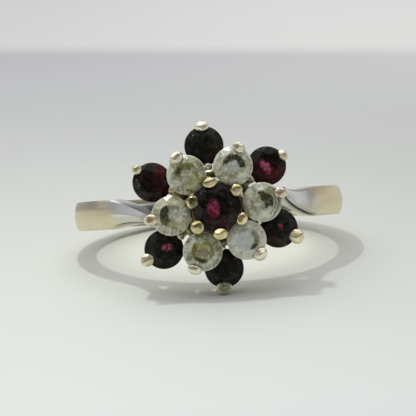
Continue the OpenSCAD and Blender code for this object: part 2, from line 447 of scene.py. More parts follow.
# how light each white stone is, and the painted reflections that show in it: direction, reach from the
# middle, spread to each side in degrees, half depth, tint and strength
whiteInsides = [
    (-0.02, [(-20, 0.35, 180, 0.36, "cool", 0.1), (25, 0.41, 92, 0.37, "dark", 1.0),
             (130, 0.42, 25, 0.14, "gold", 0.7), (-70, 0.8, 40, 0.34, "pale", 0.7),
             (0, 0.9, 60, 0.08, "olive", 0.9), (5, 1.12, 60, 0.07, "dark", 0.7),
             (200, 0.75, 40, 0.12, "olive", 0.6)]),
    (-0.06, [(-90, 0.15, 180, 0.38, "cool", 0.5), (75, 0.6, 88, 0.24, "dark", 1.0),
             (-75, 0.95, 60, 0.28, "pale", 0.4), (-120, 0.72, 32, 0.15, "olive", 0.6)]),
    (-0.05, [(120, 0.62, 75, 0.24, "olive", 0.95), (-40, 0.55, 45, 0.26, "yellow", 0.6),
             (150, 0.6, 24, 0.14, "dark", 0.7), (-35, 1.05, 35, 0.16, "yellow", 0.5),
             (20, 0.75, 40, 0.12, "olive", 0.6)]),
    (-0.02, [(-10, 0.25, 180, 0.32, "cool", 0.15), (180, 0.51, 74, 0.31, "dark", 1.0),
             (-80, 0.62, 34, 0.18, "yellow", 0.7), (100, 1.1, 55, 0.2, "yellow", 0.4),
             (215, 0.62, 22, 0.14, "olive", 0.7), (70, 0.6, 40, 0.1, "olive", 0.5)]),
    (-0.15, [(20, 0.1, 180, 0.28, "brown", 0.7), (95, 0.4, 60, 0.22, "yellow", 0.7),
             (205, 0.62, 72, 0.17, "olive", 0.95), (-105, 0.66, 34, 0.15, "dark", 0.8),
             (20, 0.64, 60, 0.14, "olive", 0.7)]),
    (0.35, [(180, 0.35, 180, 0.45, "cool", 0.5), (5, 0.66, 58, 0.24, "olive", 0.85),
            (-48, 0.66, 24, 0.13, "dark", 0.8), (110, 0.7, 30, 0.12, "olive", 0.5)]),
]


def whiteFinish(index, turn):
    look = whiteLook
    lightness, reflectionMarks = whiteInsides[index]
    f = newFinish(f"whiteStone{index + 1}")
    here = f.ownPoint()
    broken = f.shaken(f.shaken(here, 0.34, 2.0, index), 0.16, 8.0, index + 9)
    x, y, z = f.parts(broken)
    reach = reachOf(x, y)
    trueReach = reachOf(*f.parts(here)[:2])
    own = f.moved(here, (7.0 * index, 3.0 * index, 0))
    mottle = f.noise(own, look["mottleScale"], 4.0, 0.65)
    fine = f.noise(own, look["fineScale"], 3.0, 0.6)
    facet = f.paintedFacetLight(index)
    around = y.math("ARCTAN2", y, x)
    streaks = f.noise(f.joined(around * 5, reach * 1.5, 3.0 * index), look["streakScale"], 2.0)
    shard = f.parts(f.cells(f.joined(around * 2.4, reach * 2.6, 3.0 * index), 1.0, 1))[0]
    crown = f.step(trueReach, look["crownFrom"], look["crownTo"])
    # the painted facet light lightens or darkens the cloud facet by facet
    tone = ((1.2 - 0.6 * crown) * (mottle - 0.5) + 0.6 * (shard - 0.5) + (0.5 + 0.9 * crown) * (facet - 0.5)
            + 1.6 * crown * (streaks - 0.5) + 0.5 * (fine - 0.5) + lightness)
    haze = f.mix(f.step(tone, look["greyTone"], look["lightTone"]), look["grey"], look["light"])
    haze = f.mix(0.8 * f.step(0 - tone, 0.36, 0.62), haze, look["fleck"])
    specks = f.noise(f.moved(broken, (0, 0, 5)), look["speckScale"], 2.0, 0.55)
    haze = f.mix((0.4 - 0.3 * crown) * f.step(specks, 0.52, 0.62), haze, look["fleck"])
    # painted reflections: dark, olive, yellow, gold and pale arcs that the cups, claws and room would show in
    # the stone
    for way, far, spread, depth, tint, strength in reflectionMarks:
        mask = 1 - f.step(abs(reach - far), 0.6 * depth, 1.15 * depth)
        if spread < 180:
            a = math.radians(way - turn)
            ahead = (x * math.cos(a) + y * math.sin(a)) / (reach + 0.02)
            ends = [math.cos(math.radians(spread + side * look["markEnd"])) for side in (1, -1)]
            mask = mask * f.step(ahead, *ends)
        mask = mask * strength * (0.6 + 0.5 * shard + 0.3 * f.step(specks, 0.4, 0.6))
        haze = f.mix(mask.smallest(1.0), haze, paintedReflectionTints[tint])
    # painted highlight: a bright rim round the stone's edge
    rim = f.step(trueReach, look["rimFrom"], look["rimTo"]) * (0.1 + 0.9 * streaks)
    haze = f.mix(rim.smallest(1.0), haze, look["rim"])
    glass = f.surface(f.mix(look["clearShare"], haze, look["clear"]), 0.02 + 0.1 * mottle,
                      f.bump(fine, 0.2, 0.012), {"Transmission Weight": 1.0, "IOR": look["ior"]})
    cloud = f.surface(haze, 0.12 + 0.2 * fine, f.bump(mottle, 0.35, 0.04), {"IOR": look["ior"]})
    return f.done(f.node("MixShader", {0: look["haze"] + 0.3 * (mottle - 0.5), 1: glass, 2: cloud}))


rubyLook = {
    "black": (0.006, 0.006, 0.005),
    "moss": (0.011, 0.014, 0.009),
    "blackShard": (0.024, 0.013, 0.012),
    "mossShard": (0.033, 0.036, 0.025),
    "red": (0.09, 0.014, 0.017),
    "dusk": (0.075, 0.026, 0.028),
    "magenta": (0.28, 0.022, 0.06),
    "pink": (0.52, 0.16, 0.3),
    "deep": (0.02, 0.0015, 0.003),  # what the stone does to light that goes through it
    "bright": (0.28, 0.02, 0.07),
    "glint": (0.55, 0.56, 0.5),
    "facet": (0.05, 0.039, 0.032),
    "haze": 0.8,
    "ior": 1.36,
    "mottleScale": 3.6,
    "crackScale": 3.2,
    "glintScale": 3.4,
    "dotScale": 2.6,
    "fineScale": 9.0,
    "flashFrom": 0.45,  # shares of the half sizes that a flash fades between
    "flashTo": 1.15,
    "dotFrom": 0.06,
    "dotTo": 0.13,
}
# how each ruby looks inside, with its light painted in. First its painted bright flash: place, half sizes,
# lean in degrees, brightness and how pink it is. Then its painted red reflection: direction, how far from the
# middle it begins, tint and strength.
# Last its gloss and its dark tint.
rubyInsides = {
    "centre_ruby": ((-0.26, -0.06), (0.49, 0.67), 0, 0.76, 0.45, (-75, 0.55, "dusk", 0.6), 0.1, "black"),
    "ruby_1": ((-0.1, -0.06), (0.32, 0.66), 32, 0.95, 0.9, (-110, -0.3, "red", 0.8), 0.15, "black"),
    "ruby_2": ((0.5, -0.6), (0.3, 0.15), 0, 0.08, 0.0, (-60, 0.45, "red", 0.3), 0.12, "moss"),
    "ruby_3": ((0.3, 0.6), (0.3, 0.2), 0, 0.08, 0.0, (-5, 0.0, "red", 0.65), 0.16, "black"),
    "ruby_4": ((0.18, 0.15), (0.42, 0.3), 0, 1.0, 1.0, (60, 0.45, "dusk", 0.5), 0.12, "moss"),
    "ruby_5": ((0.3, 0.2), (0.2, 0.1), 0, 0.08, 0.0, (60, 0.3, "dusk", 0.4), 0.12, "moss"),
    "ruby_6": ((0.12, 0.1), (0.22, 0.28), 15, 0.7, 0.7, (-130, 0.25, "dusk", 0.45), 0.12, "moss"),
}


def rubyFinish(node, size, turn, seed):
    look = rubyLook
    flashAt, halfSizes, lean, brightness, pinkness, redPlace, gloss, shade = rubyInsides[node]
    (right, up), (halfWide, halfHigh), (redWay, redFrom, redTint, redness) = flashAt, halfSizes, redPlace
    f = newFinish("ruby" + node.title().replace("_", ""))
    here = f.ownPoint()
    broken = f.shaken(f.shaken(here, 0.35, 2.2, seed), 0.14, 8.0, seed + 9)
    mottle = f.noise(f.moved(here, (seed * 5.0, seed * 3.0, 0)), look["mottleScale"], 4.0, 0.65)
    cracked = f.parts(f.cells(broken, look["crackScale"], 1))[0]
    # painted light: a bright magenta and pink flash inside the stone
    spot = right * polar(-turn, 1) + up * polar(90 - turn, 1)
    away = f.moved(broken, -spot)
    wide = f.dot(away, polar(lean - turn, 1)) / halfWide
    high = f.dot(away, polar(lean + 90 - turn, 1)) / halfHigh
    fading = f.step(reachOf(wide, high), look["flashFrom"], look["flashTo"])
    flash = ((1 - fading) * (0.3 + 1.4 * mottle) * brightness).smallest(1.0)
    # painted reflection: dark red light on one side of the stone
    red = f.dot(broken, polar(redWay - turn, 1)) + 1.4 * (mottle - 0.5)
    red = f.step(red, redFrom - 0.15, redFrom + 0.65) * (redness * (0.35 + cracked))
    x, y, z = f.parts(here)
    reach = reachOf(x, y)
    # painted highlight: a lighter rim round the stone's edge
    rim = f.step(reach, size / 2 - 0.09, size / 2 - 0.02) * (0.2 + 0.8 * mottle)
    glints = f.noise(f.moved(broken, (seed * 4.0 + 2.0, 0, 0)), look["glintScale"], 3.0, 0.6)
    flashTint = f.mix(pinkness * f.step(glints, 0.42, 0.62), look["magenta"], look["pink"])
    flash = flash * (0.35 + 0.65 * f.step(glints + 0.2 * cracked, 0.42, 0.62))
    dark = f.mix(f.step(cracked + 0.8 * (mottle - 0.5), 0.35, 1.05), look[shade], look[shade + "Shard"])
    inside = f.mix(flash, f.mix(red, dark, look[redTint]), flashTint)
    facet = f.paintedFacetLight(seed + 3)
    crown = f.step(x * x + y * y, 0.05 * size * size, 0.09 * size * size)
    # painted reflections on some crown facets
    lit = f.step(facet + 0.4 * (mottle - 0.5), 0.5, 0.66) * crown * (1 - flash)
    inside = f.mix(lit, inside, look["facet"])
    inside = f.mix(0.5 * rim, inside, look["dusk"])
    # painted highlights: small white glints near the rim
    paintedGlints = f.cells(f.moved(here, (seed, 0, 0)), look["dotScale"])
    paintedGlints = (1 - f.step(paintedGlints, look["dotFrom"], look["dotTo"])) * f.step(reach, 0.25 * size, 0.38 * size)
    inside = f.mix(0.8 * paintedGlints, inside, look["glint"])
    # the glass is tinted brighter under the painted flash and red reflection
    clear = f.mix(red.largest(flash), look["deep"], look["bright"])
    fine = f.noise(here, look["fineScale"], 2.0, 0.5)
    grain = f.bump(fine, 0.1, 0.006)
    shine = {"IOR": look["ior"], "Specular IOR Level": gloss}
    glass = f.surface(clear, 0.01 + 0.05 * fine, grain, {"Transmission Weight": 1.0, **shine})
    depth = f.surface(inside, 0.05 + 0.06 * fine, grain, shine)
    share = look["haze"] + 0.5 * red.largest(flash)
    return f.done(f.node("MixShader", {0: share, 1: glass, 2: depth}))


def addStones():
    turn = layout["headTurn"]
    addStone("centre_ruby", centreSpot, centreSize, turn, rubyFinish("centre_ruby", centreSize, turn, 0))
    for k in range(6):
        turn = regularAngle(k, 0) + whiteRows[k][0] + layout["whiteTurn"] * k
        addStone(f"white_stone_{k + 1}", whiteSpots[k], stoneSize, turn, whiteFinish(k, turn))
        turn = regularAngle(k, 30) + rubyRows[k][0] + layout["rubyTurn"] * k
        node = f"ruby_{k + 1}"
        addStone(node, rubySpots[k], stoneSize, turn, rubyFinish(node, stoneSize, turn, k + 1))


addStones()
print("stones cut")


# The metal

metalLook = {
    "bandGold": (0.77, 0.685, 0.475),
    "bandPink": (0.75, 0.65, 0.49),
    "bandShade": (0.42, 0.39, 0.29),
    "gold": (0.92, 0.81, 0.53),
    "innerGold": (0.89, 0.75, 0.38),
    "pinkGold": (0.83, 0.67, 0.49),
    "paleGold": (0.97, 0.925, 0.73),
    "galleryGold": (0.8, 0.74, 0.42),
    "white": (0.84, 0.875, 0.89),
    "rightWhite": (0.745, 0.745, 0.725),
    "warmWhite": (0.63, 0.61, 0.53),
    "sideShade": (0.075, 0.08, 0.066),
    "underShade": (0.05, 0.052, 0.022),
    "smudge": (0.42, 0.37, 0.2),
    # painted highlight colour
    "shine": (1.0, 0.97, 0.83),
    "soil": (0.1, 0.105, 0.04),
    "dirt": (0.045, 0.048, 0.02),
    "grime": (0.08, 0.078, 0.02),
}
# wear and grain of the band, and where shade is painted on it
bandWearAndShade = {
    "broadScale": 0.7,
    "fineScale": 3.0,
    "scratchScale": 1.6,
    "whiteFrom": 6.1,  # mm towards the head that the gold turns white between
    "whiteTo": 7.1,
    "rimFrom": 6.3,  # and that the shoulders' painted edge shade begins between
    "rimTo": 9.2,
    "creaseReach": 0.18,  # mm, within which creases are painted dark, as shade with some dirt
    "creaseShare": 0.9,
    "roughness": 0.34,
}
# wear and grain of the claws, and where shade, highlights and reflections are painted on them
clawWearAndPaintedLight = {
    "broadScale": 1.0,
    "fineScale": 5.0,
    "patchScale": 2.2,
    "smudgeShare": 0.42,
    "shineShare": 0.5,
    "dentScale": 2.6,
    "dentDepth": 0.05,
    "innerFrom": 2.2,  # mm from the head's axis, where the inner claws' gold ends
    "innerTo": 2.7,
    "roughness": 0.1,
    "coat": 0.6,
    "coatRoughness": 0.12,
    "galleryDirt": (0.95, 1.0),  # share of painted shade, and how wide a gap still gets it, in mm
    "clawDirt": (0.8, 0.35),
    "clawSoftness": 0.22,
}


def bandFinish():
    look, wearAndPaintedLight = metalLook, bandWearAndShade
    f = newFinish("bandGold")
    here = f.ownPoint()
    across, along, outward = f.headPoint()
    broad = f.noise(here, wearAndPaintedLight["broadScale"], 3.0, 0.55)
    fine = f.noise(here, wearAndPaintedLight["fineScale"], 3.0, 0.55)
    scratches = f.noise(f.joined(across * 1.2, along * 9.0, outward * 1.2), wearAndPaintedLight["scratchScale"], 3.0, 0.6)
    left = f.step(0 - across, -1, 1)
    edge = outward + 1.3 * (broad - 0.5) - 0.1 - 0.2 * left + (0.65 * left - 0.2) * along
    white = f.step(edge, wearAndPaintedLight["whiteFrom"], wearAndPaintedLight["whiteTo"])
    blush = f.step(edge, 4.8, 6.0) * (1 - f.step(edge, 6.3, 7.0))
    blush = blush * f.step(along, 0.35, 0.65) * (0.4 + 0.6 * left)
    gold = f.mix(0.4 * f.step(fine, 0.35, 0.7), look["bandGold"], look["gold"])
    # painted shade on the left band, strongest along its top
    gold = f.mix((0.15 + 0.85 * f.step(along, 0.25, 0.6)) * left, gold, look["bandShade"])
    gold = f.mix(blush, gold, look["bandPink"])
    # the right shoulder's white and the lower facets' warmer white are painted darker, as shade
    pale = f.mix(left, look["rightWhite"], look["white"])
    pale = f.mix(f.step(0 - along, -0.1, 0.35), pale, look["warmWhite"])
    colour = f.mix(white, gold, pale)
    # painted shade on the inside of the hoop
    inside = (1 - f.step(reachOf(across, outward), fingerRadius + 0.02, fingerRadius + 0.1)) * left
    colour = f.mix(0.75 * inside, colour, look["bandShade"])
    rimmed = f.painted("rimmed")
    # painted shade on the shoulders' edges and side walls and on the bridge: sideShade on top, underShade
    # underneath
    upper = (rimmed * f.step(outward, wearAndPaintedLight["rimFrom"], wearAndPaintedLight["rimTo"])).largest(0.0).smallest(1.0)
    under = f.step(0 - rimmed, 0.2, 0.7) * f.step(outward, 6.4, 7.2) * (1 - 0.7 * left)
    colour = f.mix(0.85 * upper, colour, look["sideShade"])
    colour = f.mix(under, colour, look["underShade"])
    # painted shade, with some dirt, in creases and grooves
    openness = f.openness(wearAndPaintedLight["creaseReach"], 16, True)
    colour = f.mix(wearAndPaintedLight["creaseShare"] * (1 - f.step(openness, 0.42, 0.86)), colour, look["dirt"])
    roughness = wearAndPaintedLight["roughness"] + 0.08 * (fine - 0.5) + 0.08 * (scratches - 0.5)
    roughness = roughness - 0.08 * white + 0.35 * under + 0.2 * upper
    grain = f.bump(0.6 * scratches + 0.4 * fine, 0.12, 0.02)
    return f.done(f.surface(colour, roughness, grain, {"Metallic": 1.0 - 0.7 * under}))


def clawFinish(name, base, dirtAndShadeShare, dirtAndShadeReach, softness=0.0):
    look, wearAndPaintedLight = metalLook, clawWearAndPaintedLight
    f = newFinish(name)
    here = f.ownPoint()
    across, along, outward = f.headPoint()
    broad = f.noise(here, wearAndPaintedLight["broadScale"], 3.0, 0.55)
    fine = f.noise(here, wearAndPaintedLight["fineScale"], 3.0, 0.55)
    # painted shade, with some dirt, where other metal or stones lie near; on the galleries it is all shade
    dirt = (1 - f.step(f.openness(dirtAndShadeReach, 8, False), 0.3, 0.9)) * dirtAndShadeShare
    pink = f.step(across + 2.0 * (broad - 0.5), 1.5, 3.5) * f.step(along, -2.5, -1.0)
    pale = f.step(abs(along) - 0.8 * abs(across) + 1.5 * (broad - 0.5), -0.5, 0.8)
    outer = f.step(reachOf(across, along), wearAndPaintedLight["innerFrom"], wearAndPaintedLight["innerTo"])
    gold = f.mix(0.85 * pale, f.mix(pink, look[base], look["pinkGold"]), look["paleGold"])
    gold = f.mix(1 - outer, gold, look["innerGold"])
    patches = f.noise(here, wearAndPaintedLight["patchScale"], 3.0, 0.6)
    # painted dark reflections in patches
    gold = f.mix(wearAndPaintedLight["smudgeShare"] * f.step(patches, 0.52, 0.64), gold, look["smudge"])
    # painted highlights in patches
    gold = f.mix(wearAndPaintedLight["shineShare"] * (1 - f.step(patches, 0.36, 0.46)), gold, look["shine"])
    # painted shade and dark reflection on the faces of some beads
    soiled = f.painted("soiled") * (0.6 + 0.8 * fine)
    colour = f.mix(dirt, f.mix(soiled.smallest(1.0), gold, look["soil"]), look["grime"])
    dents = f.bump(f.noise(here, wearAndPaintedLight["dentScale"], 2.0, 0.5), 0.5, wearAndPaintedLight["dentDepth"])
    return f.done(f.surface(colour, wearAndPaintedLight["roughness"] + 0.14 * fine + 0.35 * dirt, dents, {
        "Metallic": 1.0 - 0.4 * dirt - softness * outer,
        "Coat Weight": wearAndPaintedLight["coat"] - wearAndPaintedLight["coat"] * dirt, "Coat Roughness": wearAndPaintedLight["coatRoughness"]}))


bandShape = {
    "width": 2.1,
    "thickness": 1.35,
    "dome": 0.25,
    "shoulderAngle": 47,
    "shoulderReach": 3.3,  # how far each shoulder runs straight on before it bends to the head
    "tip": (4.62, 3.2),  # across, and over the finger
    "tipSlips": (2.5, -1.0),  # degrees that the right and left tips lie round the head, off the regular place
    "tipWidth": 0.76,
    "tipThickness": 0.62,
    "ridge": 0.26,
    "tipRidge": 0.2,
    # shares of the half width that each ridge lies lower than the middle, at the tip and at the band
    "rightRidge": (0.3, 0.84),
    "leftRidge": (0, 0),
    "rightGroove": 0.07,  # depth of the line cut along each shoulder's lower edge
    "leftGroove": 0.045,
    "grooveBegins": 0.2,  # shares of a shoulder that the groove, the ridge and the two facets come up over
    "ridgeBegins": 0.1,
    "facetsBegin": 0.12,
    # size and distance of the slices that round the tips off
    "tipCap": ((0.12, 0.17), (0.6, 0.14), (0.88, 0.08)),
    # painted shade on the edges at each corner of a slice: less than 0 underneath, more than 0 on top
    "rimmedBelow": {25: -0.2, 26: -0.45, 27: -0.8, 0: -1, 1: -1, 2: -0.8},
    "rimmedRight": {7: 0.5, 8: 0.5, 16: 0.1, 17: 0.8, 18: 0.9, 19: 0.7},
    "rimmedLeft": {15: 0.2, 16: 0.8, 17: 3, 18: 1.2, 19: 1},
    "rimmedBridge": 1.1,  # and painted shade all over the bridge
    "edge": 0.09,
    "bridgeWidth": 1.2,
    "bridgeThickness": 1.0,
    "bridgeAngle": 52,  # to each side of the head
    "bridgeDome": 0.08,
    "bridgeEdge": 0.12,
    "bridgeSteps": 60,
    "dents": 0.012,
    "steps": 150,
    "shoulderSteps": 36,
    "sharpAngle": 22,
}


def bandSection(halfWidth, halfThick, rise, flat, ridgeAt, edge, groove=0.0):
    # corners of one slice as (outward, along the finger); flat goes from a dome, at 0, to two facets, at 1
    def outer(w):
        span = halfWidth - ridgeAt if w > ridgeAt else halfWidth + ridgeAt
        return halfThick - rise * ((1 - flat) * (w / halfWidth) ** 2 + flat * abs(w - ridgeAt) / span)

    shares = (0.97, 0.9, 0.86, 0.82, 0.6, 0.35, 0.12, 0.03)
    below = [ridgeAt - s * (halfWidth - edge + ridgeAt) for s in shares]
    above = [ridgeAt + s * (halfWidth - edge - ridgeAt) for s in reversed(shares)]
    front = [(outer(w), w) for w in (*below, ridgeAt, *above)]
    front[2] = (front[2][0] - groove, front[2][1])  # the groove's corner
    side = outer(halfWidth) - edge * 0.7
    inside = -halfThick
    flank = [(side + edge * 0.25, halfWidth - edge * 0.3), (side, halfWidth), (inside + edge, halfWidth),
             (inside, halfWidth - edge), (inside, 0.4 * halfWidth)]
    return [*front, *flank, (inside, 0), *((n, -w) for n, w in reversed(flank))]


def shoulderSlice(t, side, tipShift, size=1.0, ahead=0.0):
    shape = bandShape
    a = math.radians(shape["shoulderAngle"])
    middle = fingerRadius + shape["thickness"] / 2
    start = Vector((math.sin(a), math.cos(a))) * middle
    bend = start + shape["shoulderReach"] * Vector((-math.cos(a), math.sin(a)))
    tip = Vector((shape["tip"][0], fingerRadius + shape["tip"][1]))
    way = ((1 - t) * (bend - start) + t * (tip - bend)).normalized()
    point = (1 - t) ** 2 * start + 2 * t * (1 - t) * bend + t * t * tip + ahead * way
    halfWidth = (shape["tipWidth"] + (shape["width"] - shape["tipWidth"]) * (1 - t) ** 2) / 2
    halfThick = (shape["thickness"] * (1 - t) + shape["tipThickness"] * t) / 2
    rise = shape["ridge"] * (1 - t) + shape["tipRidge"] * t
    hand = "right" if side > 0 else "left"
    ridge = shape[hand + "Ridge"]
    drop = (ridge[0] * t + ridge[1] * (1 - t)) * min(1, t / shape["ridgeBegins"])
    groove = shape[hand + "Groove"] * min(1, t / shape["grooveBegins"])
    section = bandSection(halfWidth, halfThick, rise, min(1, t / shape["facetsBegin"]), -drop * halfWidth,
                          shape["edge"] * (1 - 0.5 * t), groove)
    lift = tipShift * t * t * (3 - 2 * t)
    out = Vector((way.y, -way.x))
    return [Vector((side * (point.x + size * n * out.x), lift + size * w, point.y + size * n * out.y))
            for n, w in section]


def hoopSlice(angle, halfWidth, thick, rise, edge):
    a = math.radians(angle)
    middle = fingerRadius + thick / 2
    section = bandSection(halfWidth, thick / 2, rise, 0, 0, edge)
    return [Vector(((middle + n) * math.sin(a), w, (middle + n) * math.cos(a))) for n, w in section]


def addBand():
    shape = bandShape
    rightShift, leftShift = (side * shape["tip"][0] * math.sin(math.radians(regularAngle(0, 0) + slip))
                             for side, slip in zip((1, -1), shape["tipSlips"]))
    ts = [1 - k / shape["shoulderSteps"] for k in range(shape["shoulderSteps"])]
    rings = [shoulderSlice(1, 1, rightShift, *cap) for cap in shape["tipCap"]]
    rings += [shoulderSlice(t, 1, rightShift) for t in ts]
    for k in range(shape["steps"] + 1):
        angle = shape["shoulderAngle"] + (360 - 2 * shape["shoulderAngle"]) * k / shape["steps"]
        rings.append(hoopSlice(angle, shape["width"] / 2, shape["thickness"], shape["dome"], shape["edge"]))
    rings += [shoulderSlice(t, -1, leftShift) for t in reversed(ts)]
    rings += [shoulderSlice(1, -1, leftShift, *cap) for cap in reversed(shape["tipCap"])]
    mesh = bmesh.new()
    loft(mesh, rings)
    # the finish paints shade on the edges from this layer
    rimmed = mesh.verts.layers.float.new("rimmed")
    corners = len(rings[0])
    for k, vert in enumerate(mesh.verts):
        push = noise.noise(vert.co * 0.9) * shape["dents"]
        vert.co += push * Vector((vert.co.x, 0, vert.co.z)).normalized()
        above = shape["rimmedRight" if 2 * k < len(mesh.verts) else "rimmedLeft"]
        vert[rimmed] = above.get(k % corners, 0) + shape["rimmedBelow"].get(k % corners, 0)
    band = addPiece("band", mesh, bandFinish(), shape["sharpAngle"])
    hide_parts("gold_mount")
    mesh = bmesh.new()
    reach, steps = shape["bridgeAngle"], shape["bridgeSteps"]
    loft(mesh, [hoopSlice(-reach + 2 * reach * k / steps, shape["bridgeWidth"] / 2, shape["bridgeThickness"],
                          shape["bridgeDome"], shape["bridgeEdge"]) for k in range(steps + 1)])
    rimmed = mesh.verts.layers.float.new("rimmed")
    for vert in mesh.verts:
        vert[rimmed] = shape["rimmedBridge"]
    addPiece("bridge", mesh, bandFinish())


addBand()
print("band made")


setting = {
    "clawWire": 0.28,
    "beadLift": 0.2,  # bead's middle over its stone's girdle
    "beadIn": 0.02,  # and inside its stone's edge
    "beadHeight": 0.86,
    "kneeOut": 0.04,
    "kneeDrop": 0.45,
    "railHeight": 0.76,  # over the finger
    "railReach": 3.75,
    "railWire": 0.3,
    "hub": 1.1,
    "upperRailDrop": 0.8,  # under the white stones' girdles
    "upperRailReach": 2.35,
    "upperRailWire": 0.3,
    "armWire": 0.2,
    "tieReach": 1.6,
    "tieDrop": 0.5,
    "tieWire": 0.22,
    "stemWire": 0.24,
    "stemIn": 0.16,
    "stemBead": 0.27,
    "innerFoot": 1.98,
    "innerKnee": 1.93,
    "innerHead": 1.79,
    "innerLift": 0.25,
    "lumps": 0.035,
    # which way the filed flats face, and how far out they lie
    "flats": [((0.3, -0.38, 1.0), 0.8), ((-0.32, 0.26, 1.0), 0.82)],
    # outline of a stone's cup from its axis, as shares of the stone's size
    "cup": [(0.1, -0.56), (0.2, -0.56), (0.3, -0.4), (0.4, -0.24), (0.485, -0.1), (0.47, -0.075),
            (0.435, -0.085), (0.33, -0.19), (0.22, -0.29), (0.145, -0.355), (0.1, -0.4)],
    "hubSides": 48,
    "seed": 5,
    "clawSharpAngle": 50,
}
railLevel = fingerRadius + setting["railHeight"]


def farEdge(reach, off):
    off = math.radians(off)
    return reach * math.cos(off) + math.sqrt(stoneRadius ** 2 - (reach * math.sin(off)) ** 2)


def roomSides(size):
    # sides of the room that a stone needs, as a point and an outward direction in (from the axis, height)
    gap = layout["fitGap"]
    # reach and height for a stone of diameter 1, and how many gaps further out and up
    outline = [(0, culetHeight, 0, -1.5), (cut["belly"], bellyHeight, 1, -1), (0.5, -halfGirdle, 1, -1),
               (0.5, halfGirdle, 1, 1), (cut["star"], starHeight, 1, 1), (cut["table"], tableHeight, 0, 1),
               (0, tableHeight, 0, 1)]
    corners = [Vector((r * size + out * gap, z * size + up * gap)) for r, z, out, up in outline]
    sides = []
    for a, b in zip(corners, corners[1:]):
        way = (b - a).normalized()
        sides.append((a, Vector((way.y, -way.x))))
    return sides


rooms = {size: roomSides(size) for size in (stoneSize, centreSize)}


def seatMetal(mesh):
    # metal that would reach into a stone lies against it instead
    for spot, size in allStones:
        for vert in mesh.verts:
            away = vert.co - spot
            if away.length > 0.6 * size:  # well clear of it
                continue
            reach = math.hypot(away.x, away.y)
            depths = [((Vector((reach, away.z)) - point).dot(out), out) for point, out in rooms[size]]
            depth, out = max(depths, key=lambda pair: pair[0])
            if depth < 0:
                beside = Vector((away.x, away.y, 0)) / max(reach, 1e-6)
                vert.co -= depth * (out.x * beside + Vector((0, 0, out.y)))


def nugget(mesh, middle, sizes, angle, rng, soil=0.0):
    # the lump of gold at a claw's end, with flats where it was filed; a long one grows away from its stone
    turn = Matrix.Rotation(math.radians(angle), 3, "Z")
    back = turn.transposed()
    flats = [(Vector(way) + Vector([rng.uniform(-0.32, 0.32) for _ in range(3)]),
              depth + rng.uniform(-0.06, 0.05)) for way, depth in setting["flats"]]
    flats += [(Vector((rng.uniform(-1, 1), rng.uniform(-1, 1), high)), 0.86) for high in (0.3, 0.7, 1.2)]
    shift = Vector((rng.uniform(0, 9), rng.uniform(0, 9), rng.uniform(0, 9)))
    grown = max(0, sizes[0] - sizes[1]) * 0.8
    soiled = mesh.verts.layers.float.get("soiled") or mesh.verts.layers.float.new("soiled")
    for vert in bmesh.ops.create_icosphere(mesh, subdivisions=4, radius=1)["verts"]:
        p = vert.co.copy()
        for way, depth in flats:
            over = p.dot(way.normalized()) - depth
            if over > 0:
                p -= 0.9 * over * way.normalized()
        p *= 1 + setting["lumps"] * noise.noise(1.5 * p + shift)
        p = back @ p
        vert.co = middle + turn @ Vector((p.x * sizes[0] + grown, p.y * sizes[1], p.z * sizes[2]))
        # how dark the bead's outer face is painted, as shade and dark reflection
        vert[soiled] = soil * min(1, max(0, (p.z - 0.4) / 0.3))


def bentWire(mesh, angle, knots):
    # a wire at this angle round the head, through knots of reach, height and radius
    rows = curveThrough(knots)
    tube(mesh, [polar(angle, row[0], row[1]) for row in rows], [row[2] for row in rows], polar(angle + 90, 1))


def outerClaw(mesh, angle, foot, edge, girdle, bead, rng):
    s = setting
    wire = s["clawWire"]
    head = (edge - s["beadIn"], girdle + s["beadLift"])
    bentWire(mesh, angle, [(*foot, wire), (edge + s["kneeOut"] - 0.1, girdle - s["kneeDrop"] - 0.25, wire),
                           (edge + s["kneeOut"], girdle - 0.1, wire * 0.98), (*head, wire * 0.9)])
    size, out, beside, soil = bead
    nugget(mesh, polar(angle, *head), (size * out, size * beside, size * s["beadHeight"]), angle, rng, soil)


def collet(mesh, spot, size):
    # the cone that a stone's pavilion sits in, open at the bottom
    lathe(mesh, [(r * size, spot.z + z * size) for r, z in setting["cup"]], spot)


